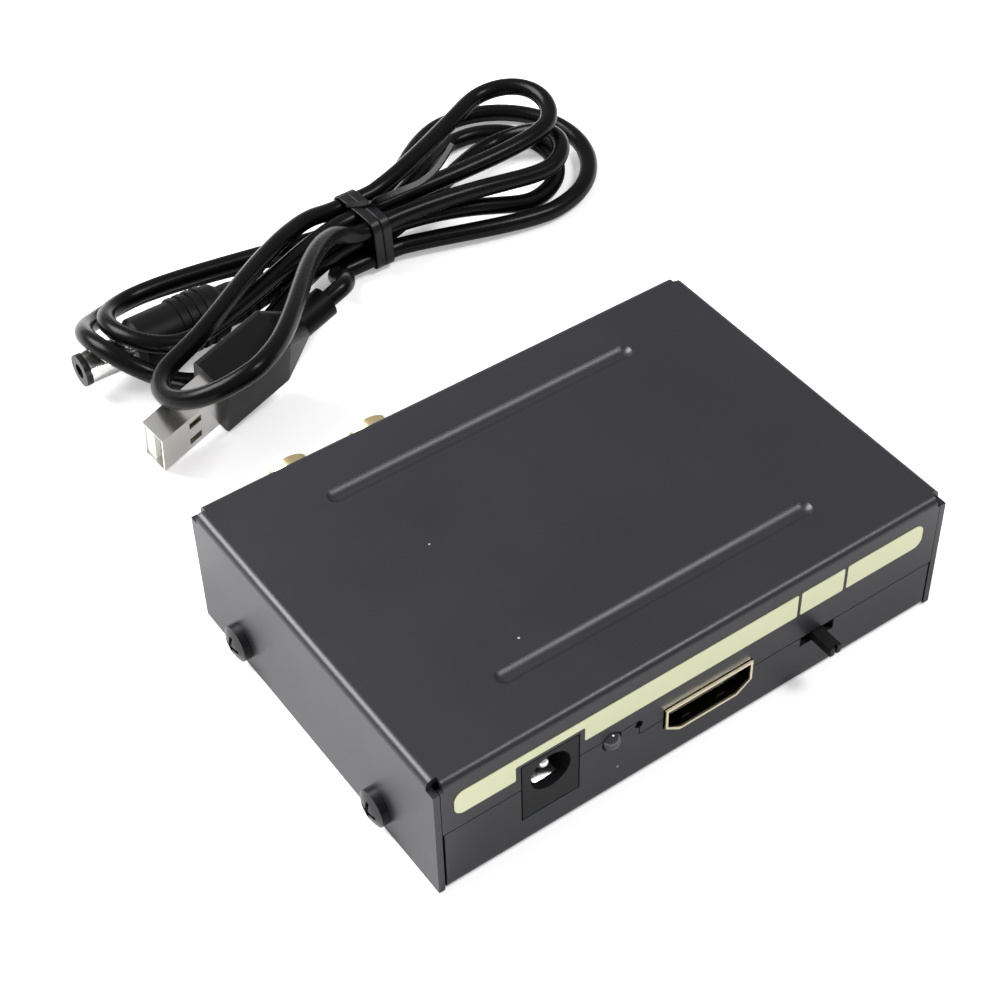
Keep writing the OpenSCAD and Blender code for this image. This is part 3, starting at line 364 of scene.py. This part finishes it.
def make_table():
    bm = bmesh.new()
    bmesh.ops.create_grid(bm, x_segments=TABLE_SQUARES, y_segments=TABLE_SQUARES, size=TABLE_SIZE / 2)
    mesh = bpy.data.meshes.new("table_sheet")
    bm.to_mesh(mesh)
    bm.free()
    table = link(bpy.data.objects.new("table_sheet", mesh))
    table.location.z = TABLE_Z
    material, nodes, links = node_tree("white_table")
    shader = nodes["Principled BSDF"]
    shader.inputs["Base Color"].default_value = TABLE_COLOUR
    shader.inputs["Roughness"].default_value = TABLE_ROUGHNESS
    shader.inputs["Specular IOR Level"].default_value = TABLE_SPECULAR
    glow = nodes.new("ShaderNodeEmission")
    glow.inputs["Color"].default_value = WHITE
    path = nodes.new("ShaderNodeLightPath")
    seen = nodes.new("ShaderNodeMath")
    seen.operation = "MAXIMUM"
    links.new(path.outputs["Is Camera Ray"], seen.inputs[0])
    links.new(path.outputs["Is Transmission Ray"], seen.inputs[1])
    lift = nodes.new("ShaderNodeMath")
    lift.operation = "MULTIPLY"
    lift.inputs[1].default_value = TABLE_LIFT
    links.new(seen.outputs[0], lift.inputs[0])
    links.new(lift.outputs[0], glow.inputs["Strength"])
    both = nodes.new("ShaderNodeAddShader")
    links.new(shader.outputs[0], both.inputs[0])
    links.new(glow.outputs[0], both.inputs[1])
    links.new(both.outputs[0], nodes["Material Output"].inputs["Surface"])
    mesh.materials.append(material)
    return table


table = make_table()
print("table, m:", TABLE_SIZE)

# %% [markdown]
# The light is a dim pale room and two lamps. The large one at the back left overexposes the table, so the
# left side mirrors a bright table and its top bend has a thin highlight. The smaller one, overhead and a
# little to the front right, draws the highlights along the front bend and the far walls of the beads.

# %% Room light and lamps
ROOM_STRENGTH = 0.48
ROOM_SEEN = 1.0
LAMP_TARGET = (0.0, 0.02, 0.0)
# Each row has a lamp's name, place, width in metres and power in watts.
LAMPS = [
    ("back_left_lamp", (-0.5, 0.7, 0.84), 0.7, 30.0),
    ("overhead_lamp", (0.44, -0.36, 0.95), 0.3, 7.0),
]


def make_room():
    """A pale room that lights the box dimly and looks white to the camera."""
    world = bpy.data.worlds.new("pale_room")
    world.use_nodes = True
    back = world.node_tree.nodes["Background"]
    back.inputs["Color"].default_value = WHITE
    path = world.node_tree.nodes.new("ShaderNodeLightPath")
    pick = world.node_tree.nodes.new("ShaderNodeMapRange")
    pick.inputs["To Min"].default_value = ROOM_STRENGTH
    pick.inputs["To Max"].default_value = ROOM_SEEN
    world.node_tree.links.new(path.outputs["Is Camera Ray"], pick.inputs["Value"])
    world.node_tree.links.new(pick.outputs["Result"], back.inputs["Strength"])
    bpy.context.scene.world = world


def make_lamp(name, place, size, power):
    data = bpy.data.lights.new(name, "AREA")
    data.shape = "SQUARE"
    data.size = size
    data.energy = power
    lamp = link(bpy.data.objects.new(name, data))
    lamp.location = place
    aim = Vector(LAMP_TARGET) - Vector(place)
    lamp.rotation_euler = aim.to_track_quat("-Z", "Y").to_euler()


make_room()
for lamp_facts in LAMPS:
    make_lamp(*lamp_facts)
bpy.context.scene.view_settings.view_transform = "Standard"
print("lamps:", len(LAMPS))

# %% [markdown]
# Some effects come back in many finishes, so each is a node group that is built once and placed in the
# materials that need it. Copying the nodes into each material would also work, but then a change would
# have to be made many times. These helpers make a group's sockets and join its nodes.

# %% Helpers for groups
NOISE_DETAIL = 3.0
NOISE_MIDDLE = 0.5


def new_group(name, sockets_in, sockets_out):
    """An empty group with its named inputs, each with a first value, and its named outputs."""
    tree = bpy.data.node_groups.new(name, "ShaderNodeTree")
    for label, value in sockets_in:
        socket = tree.interface.new_socket(label, in_out="INPUT", socket_type="NodeSocketFloat")
        socket.default_value = value
    for label in sockets_out:
        tree.interface.new_socket(label, in_out="OUTPUT", socket_type="NodeSocketFloat")
    return tree, tree.nodes.new("NodeGroupInput"), tree.nodes.new("NodeGroupOutput")


def add(tree, kind, **values):
    node = tree.nodes.new(kind)
    for key, value in values.items():
        setattr(node, key, value)
    return node


def calculate(tree, operation, a, b=None):
    """One step of arithmetic on numbers or on other nodes' outputs."""
    node = add(tree, "ShaderNodeMath", operation=operation)
    for k, value in enumerate((a, b)):
        if isinstance(value, (int, float)):
            node.inputs[k].default_value = value
        elif value is not None:
            tree.links.new(value, node.inputs[k])
    return node.outputs[0]


def noise(tree, vector, scale, detail):
    node = add(tree, "ShaderNodeTexNoise")
    node.inputs["Detail"].default_value = detail
    tree.links.new(vector, node.inputs["Vector"])
    tree.links.new(scale, node.inputs["Scale"])
    return node.outputs["Fac"]


def object_place(tree):
    return add(tree, "ShaderNodeTexCoord").outputs["Object"]


print("node groups so far:", len(bpy.data.node_groups))

# %% [markdown]
# No real surface is quite even. A coarse cloud varies its gloss and its shade, and a fine grain varies the
# gloss once more and gives it height. An image could do this too, but noise needs no file and no mapping.

# %% Uneven finish
CLOUD_SCALE = 60
GRAIN_SCALE = 4000
SPREAD = 0.1


def uneven_group():
    tree, gin, gout = new_group(
        "uneven finish",
        [("Cloud Scale", CLOUD_SCALE), ("Grain Scale", GRAIN_SCALE), ("Gloss", 0.4), ("Spread", SPREAD)],
        ["Roughness", "Cloud", "Grain"],
    )
    place = object_place(tree)
    cloud = noise(tree, place, gin.outputs["Cloud Scale"], NOISE_DETAIL)
    grain = noise(tree, place, gin.outputs["Grain Scale"], NOISE_DETAIL)
    spread = gin.outputs["Spread"]
    swing = calculate(tree, "MULTIPLY", calculate(tree, "SUBTRACT", cloud, NOISE_MIDDLE), spread)
    fine = calculate(tree, "MULTIPLY", calculate(tree, "SUBTRACT", grain, NOISE_MIDDLE), spread)
    total = calculate(tree, "ADD", calculate(tree, "ADD", swing, fine), gin.outputs["Gloss"])
    tree.links.new(total, gout.inputs["Roughness"])
    tree.links.new(cloud, gout.inputs["Cloud"])
    tree.links.new(grain, gout.inputs["Grain"])
    return tree


UNEVEN = uneven_group()
print("group:", UNEVEN.name)

# %% [markdown]
# A black case shows a few pale specks of dust. They could be scattered as small meshes, but a texture costs
# less: each of its cells has a middle and a colour of its own, so a small ball round the middle is a speck,
# and a limit on the colour keeps only a few of them.

# %% Dust specks
def dust_group():
    tree, gin, gout = new_group("dust specks", [("Scale", 500), ("Amount", 0.02), ("Size", 0.1)], ["Mask"])
    place = object_place(tree)
    cells = add(tree, "ShaderNodeTexVoronoi")
    tree.links.new(place, cells.inputs["Vector"])
    tree.links.new(gin.outputs["Scale"], cells.inputs["Scale"])
    near = calculate(tree, "LESS_THAN", cells.outputs["Distance"], gin.outputs["Size"])
    split = add(tree, "ShaderNodeSeparateColor")
    tree.links.new(cells.outputs["Color"], split.inputs[0])
    rare = calculate(tree, "LESS_THAN", split.outputs[0], gin.outputs["Amount"])
    tree.links.new(calculate(tree, "MULTIPLY", near, rare), gout.inputs["Mask"])
    return tree


DUST = dust_group()
print("group:", DUST.name)

# %% [markdown]
# Rolled and plated metal has long fine lines. They could be modelled or drawn in an image, but noise that
# is squeezed along one direction gives them in a few nodes.

# %% Rolled lines
LINE_DETAIL = 2.0


def lines_group():
    tree, gin, gout = new_group("rolled lines", [("Scale", 300), ("Stretch", 0.03)], ["Height"])
    place = object_place(tree)
    stretch = add(tree, "ShaderNodeCombineXYZ")
    stretch.inputs["Y"].default_value = 1.0
    stretch.inputs["Z"].default_value = 1.0
    tree.links.new(gin.outputs["Stretch"], stretch.inputs["X"])
    squeeze = add(tree, "ShaderNodeVectorMath", operation="MULTIPLY")
    tree.links.new(place, squeeze.inputs[0])
    tree.links.new(stretch.outputs[0], squeeze.inputs[1])
    tree.links.new(noise(tree, squeeze.outputs[0], gin.outputs["Scale"], LINE_DETAIL), gout.inputs["Height"])
    return tree


LINES = lines_group()
print("group:", LINES.name)

# %% [markdown]
# Little light gets into a socket, so only the rim of its gold shell looks bright, and the shell deeper in
# is given a painted shade. The inside could be a piece of its own, but it is one folded sheet, so a mask
# tells the rim from what lies deeper in the box.

# %% Painted shade in the sockets
RIM_FROM_MIDDLE = 0.0301


def socket_shade_group():
    """Marks what lies deeper in the box than a socket's rim, where the shell gets a painted shade."""
    tree, gin, gout = new_group("socket painted shade", [("Rim", RIM_FROM_MIDDLE)], ["Mask"])
    place = object_place(tree)
    parts = add(tree, "ShaderNodeSeparateXYZ")
    tree.links.new(place, parts.inputs[0])
    from_middle = calculate(tree, "ABSOLUTE", parts.outputs["Y"])
    tree.links.new(calculate(tree, "LESS_THAN", from_middle, gin.outputs["Rim"]), gout.inputs["Mask"])
    return tree


# The mask of the painted shade inside the sockets.
SOCKET_SHADE_MASK = socket_shade_group()
print("groups:", [g.name for g in bpy.data.node_groups])

# %% [markdown]
# Every finish is a Principled shader with plain numbers on its own sockets. What changes over the surface
# comes from the groups: a darker and a lighter shade of the colour, the roughness, and the bump. Paint,
# plastic, rubber and metal differ only in these values, so one function makes them all.

# %% One function for every finish
BUMP_REACH = 0.0001
DUST_COLOUR = (0.26, 0.26, 0.25)
# A Mix node has sockets for every kind of data. These are the places of the ones for colours.
MIX_FACTOR, MIX_UNDER, MIX_OVER, MIX_RESULT = 0, 6, 7, 2


def place_group(nodes, group):
    node = nodes.new("ShaderNodeGroup")
    node.node_tree = group
    return node


def colour_mix(nodes):
    mix = nodes.new("ShaderNodeMix")
    mix.data_type = "RGBA"
    return mix


def covered(nodes, links, group, under, over, amount=None):
    """The colour under, with the colour over where the group's mask is set."""
    mask = place_group(nodes, group)
    if amount is not None:
        mask.inputs["Amount"].default_value = amount
    mix = colour_mix(nodes)
    mix.inputs[MIX_OVER].default_value = (*over, 1)
    links.new(mask.outputs["Mask"], mix.inputs[MIX_FACTOR])
    links.new(under, mix.inputs[MIX_UNDER])
    return mix.outputs[MIX_RESULT]


def finish(name, shades, gloss, metal=0.0, spread=SPREAD, cloud=CLOUD_SCALE, grain=GRAIN_SCALE, bump=0.15,
           dust=0.0, lines=0.0, specular=0.5, index=1.5, painted_shade=None):
    """A material of two shades. Lines, where it has them, take the place of the grain's height."""
    material, nodes, links = node_tree(name)
    shader = nodes["Principled BSDF"]
    shader.inputs["Metallic"].default_value = metal
    shader.inputs["Specular IOR Level"].default_value = specular
    shader.inputs["IOR"].default_value = index
    uneven = place_group(nodes, UNEVEN)
    uneven.inputs["Cloud Scale"].default_value = cloud
    uneven.inputs["Grain Scale"].default_value = grain
    uneven.inputs["Gloss"].default_value = gloss
    uneven.inputs["Spread"].default_value = spread
    links.new(uneven.outputs["Roughness"], shader.inputs["Roughness"])
    shade = colour_mix(nodes)
    shade.inputs[MIX_UNDER].default_value = (*shades[0], 1)
    shade.inputs[MIX_OVER].default_value = (*shades[1], 1)
    links.new(uneven.outputs["Cloud"], shade.inputs[MIX_FACTOR])
    colour = shade.outputs[MIX_RESULT]
    if dust:
        colour = covered(nodes, links, DUST, colour, DUST_COLOUR, dust)
    # A painted shade darkens the colour deeper in than a socket's rim.
    if painted_shade:
        colour = covered(nodes, links, SOCKET_SHADE_MASK, colour, painted_shade)
    links.new(colour, shader.inputs["Base Color"])
    height = uneven.outputs["Grain"]
    if lines:
        height = place_group(nodes, LINES).outputs["Height"]
    relief = nodes.new("ShaderNodeBump")
    relief.inputs["Strength"].default_value = lines or bump
    relief.inputs["Distance"].default_value = BUMP_REACH
    links.new(height, relief.inputs["Height"])
    links.new(relief.outputs["Normal"], shader.inputs["Normal"])
    return material


FINISHES = {}
print("bump reach, m:", BUMP_REACH)

# %% [markdown]
# The case is sheet steel with a satin black paint, a little bluish, with a few specks of dust. The screws
# are blackened by an oxide, which lets some of the metal through. Both could be one black, but then the
# heads would not stand out from the sheet.

# %% Paint and black oxide
FINISHES["black_steel"] = finish(
    "satin_black_paint", [(0.0072, 0.0072, 0.0102), (0.0105, 0.0105, 0.0145)], gloss=0.38,
    spread=0.08, cloud=45, grain=5200, bump=0.2, dust=0.005, specular=0.42,
)
FINISHES["black_screw"] = finish(
    "black_oxide", [(0.008, 0.008, 0.009), (0.02, 0.02, 0.022)], gloss=0.34, metal=0.3, lines=0.1,
)
print("finishes:", len(FINISHES))

# %% [markdown]
# Pins, standoffs and the shells of the plugs are plated steel. The phono shells and the contacts have a
# thin coat of gold. Bare metal shows only what it mirrors, tinted by its own colour, so both are fully
# metallic, the one neutral and the other warm.

# %% Plated steel and gold
FINISHES["bright_steel"] = finish(
    "plated_steel", [(0.66, 0.65, 0.62), (0.8, 0.79, 0.77)], gloss=0.22, metal=1.0, lines=0.12,
)
FINISHES["gilt"] = finish(
    "thin_gold_plate", [(0.78, 0.6, 0.3), (0.9, 0.76, 0.46)], gloss=0.24, metal=1.0, lines=0.08,
)
print("finishes:", len(FINISHES))

# %% [markdown]
# The mouldings are black, dark, white or red plastic with a fine grain. The black ones mirror less than
# plastic usually does, so that they stay as dark as the case round them. The power light's dome is smooth
# and smoked, and is given as a dark glossy surface, because nothing shows through it at this size.

# %% Mouldings and the dome
FINISHES["black_plastic"] = finish(
    "black_moulding", [(0.003, 0.003, 0.0035), (0.007, 0.007, 0.008)], gloss=0.36, grain=6000, specular=0.2,
)
FINISHES["dark_plastic"] = finish(
    "dark_moulding", [(0.004, 0.004, 0.005), (0.008, 0.008, 0.0095)], gloss=0.42, grain=6000, specular=0.18,
)
FINISHES["light_dome"] = finish(
    "smoked_dome", [(0.012, 0.012, 0.015), (0.03, 0.03, 0.035)], gloss=0.1, spread=0.04, specular=0.7,
)
FINISHES["white_plastic"] = finish(
    "white_moulding", [(0.78, 0.77, 0.72), (0.84, 0.83, 0.79)], gloss=0.32, grain=5000, bump=0.1,
)
FINISHES["red_plastic"] = finish(
    "red_moulding", [(0.5, 0.015, 0.02), (0.62, 0.03, 0.035)], gloss=0.32, grain=5000, bump=0.1,
)
print("finishes:", len(FINISHES))

# %% [markdown]
# Inside, the board has a green mask, and its pieces are drawn cans, ceramic and ferrite. The optical output
# has a clear red lens. They show only through the openings, so plain values are enough.

# %% Board and what sits on it
FINISHES["green_board"] = finish(
    "green_mask", [(0.006, 0.07, 0.03), (0.02, 0.13, 0.055)], gloss=0.3, cloud=700, grain=2500,
)
FINISHES["red_lens"] = finish("red_lens", [(0.3, 0.01, 0.01), (0.42, 0.02, 0.02)], gloss=0.1, specular=0.7)
FINISHES["can_metal"] = finish(
    "drawn_can", [(0.58, 0.59, 0.6), (0.7, 0.71, 0.72)], gloss=0.3, metal=1.0, lines=0.15,
)
FINISHES["ceramic"] = finish("ceramic_chip", [(0.28, 0.19, 0.1), (0.42, 0.3, 0.17)], gloss=0.5, cloud=900)
FINISHES["ferrite"] = finish(
    "ferrite_grey", [(0.05, 0.05, 0.052), (0.09, 0.09, 0.095)], gloss=0.6, cloud=900, bump=0.4,
)
print("finishes:", len(FINISHES))

# %% [markdown]
# The cable's jacket is smooth and has narrow highlights, and the plugs' grips are duller with a coarser
# grain. A plain rubber mirrors the white table so strongly that it turns grey, so both have a lower index
# of refraction, which weakens what they mirror.

# %% Cable jacket and grips
FINISHES["lead_rubber"] = finish(
    "cable_jacket", [(0.0015, 0.0015, 0.0019), (0.003, 0.003, 0.0034)], gloss=0.26,
    spread=0.08, cloud=120, grain=2600, bump=0.12, index=1.2,
)
FINISHES["plug_rubber"] = finish(
    "moulded_grip", [(0.002, 0.002, 0.0024), (0.0045, 0.0045, 0.005)], gloss=0.4,
    cloud=200, grain=5200, bump=0.3, index=1.18,
)
print("finishes:", len(FINISHES))

# %% [markdown]
# Each node of the frame says in the record what it is made of, so the finishes are given out in a loop.
# The two video sockets then get a paler gold of their own, with a painted shade behind their rims.

# %% Dress the pieces
# Dark colour painted as shade on each socket shell deeper in than its rim.
SOCKET_PAINTED_SHADE = (0.03, 0.027, 0.022)


def dress(obj, material):
    for spot in obj.material_slots:
        spot.material = material
    if not obj.material_slots:
        obj.data.materials.append(material)


slots = {row["node"]: row["material_slot"] for row in frame["record"]["subparts"]}
for node_name, obj in frame["nodes"].items():
    dress(obj, FINISHES[slots[node_name]])
# The video sockets' gold, with a painted shade deeper in than the rim.
rim = finish(
    "gold_rim_painted_shade", [(0.86, 0.74, 0.5), (0.95, 0.86, 0.66)], gloss=0.3, metal=1.0, lines=0.08, painted_shade=SOCKET_PAINTED_SHADE,
)
for node_name in ("video_in_shell", "video_out_shell"):
    dress(frame["nodes"][node_name], rim)
dress(lead, FINISHES["lead_rubber"])
dress(lead_tie, FINISHES["black_plastic"])
dress(tie_end, FINISHES["black_plastic"])
print("dressed nodes:", len(slots))

# %% [markdown]
# A pale strip runs along the cover's front lip. It has three fields with narrow gaps between them, rounded
# ends, and a notch that leaves only its upper edge above the power inlet. It could be painted on the steel
# with a mask, but an outline with round corners, raised by a hair, keeps a crisp edge at any distance.

# %% Pale strip on the front
STRIP_LOW, STRIP_HIGH = 14.5, 18.8
STRIP_FACE_Y = -30.0
STRIP_T = 0.1
STRIP_END_R = 1.5
STRIP_CUT_R = 0.25
NOTCH_LEFT, NOTCH_RIGHT, NOTCH_TOP = -30.6, -19.6, 17.2
# Each row has a field's left and right ends, and whether each of them is an end of the whole strip.
FIELDS = [(-40.0, 16.3, True, False), (16.9, 24.6, False, False), (25.2, 39.1, False, True)]
ARC_STEPS = 8


def round_corners(corners):
    """An outline in X and Z from (x, z, radius) corners, each rounded by an arc."""
    out = []
    n = len(corners)
    for k in range(n):
        x, z, r = corners[k]
        p = Vector((x, z))
        before = Vector(corners[k - 1][:2]) - p
        after = Vector(corners[(k + 1) % n][:2]) - p
        a, b = before.normalized() * r, after.normalized() * r
        middle = p + a + b
        for j in range(ARC_STEPS + 1):
            t = math.pi / 2 * j / ARC_STEPS
            out.append(middle - b * math.cos(t) - a * math.sin(t))
    return out


def plate(name, outline, y, thick):
    """A thin plate on the face at y, with the outline in X and Z."""
    bm = bmesh.new()
    back = [bm.verts.new((p.x * MM, y * MM, p.y * MM)) for p in outline]
    face = bm.faces.new(back)
    raised = bmesh.ops.extrude_face_region(bm, geom=[face])
    moved = [v for v in raised["geom"] if isinstance(v, bmesh.types.BMVert)]
    bmesh.ops.translate(bm, vec=(0, -thick * MM, 0), verts=moved)
    bmesh.ops.recalc_face_normals(bm, faces=bm.faces)
    mesh = bpy.data.meshes.new(name)
    bm.to_mesh(mesh)
    bm.free()
    return link(bpy.data.objects.new(name, mesh))


def field_corners(left, right, ends_left, ends_right):
    """A field's corners, with the notch in the field that lies above the power inlet."""
    left_r = STRIP_END_R if ends_left else STRIP_CUT_R
    right_r = STRIP_END_R if ends_right else STRIP_CUT_R
    corners = [(left, STRIP_LOW, left_r)]
    if left < NOTCH_LEFT < right:
        corners += [
            (NOTCH_LEFT, STRIP_LOW, STRIP_CUT_R), (NOTCH_LEFT, NOTCH_TOP, STRIP_CUT_R),
            (NOTCH_RIGHT, NOTCH_TOP, STRIP_CUT_R), (NOTCH_RIGHT, STRIP_LOW, STRIP_CUT_R),
        ]
    corners += [(right, STRIP_LOW, right_r), (right, STRIP_HIGH, right_r), (left, STRIP_HIGH, left_r)]
    return corners


pale = finish(
    "pale_strip_film", [(0.57, 0.585, 0.37), (0.62, 0.635, 0.41)], gloss=0.38,
    cloud=220, grain=3600, bump=0.12,
)
for number, field in enumerate(FIELDS, 1):
    strip = plate(f"front_strip_{number}", round_corners(field_corners(*field)), STRIP_FACE_Y, STRIP_T)
    dress(strip, pale)
    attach(strip, "case")
print("strip fields:", len(FIELDS))

# %% [markdown]

# %% End of the scene
print("scene dressed")
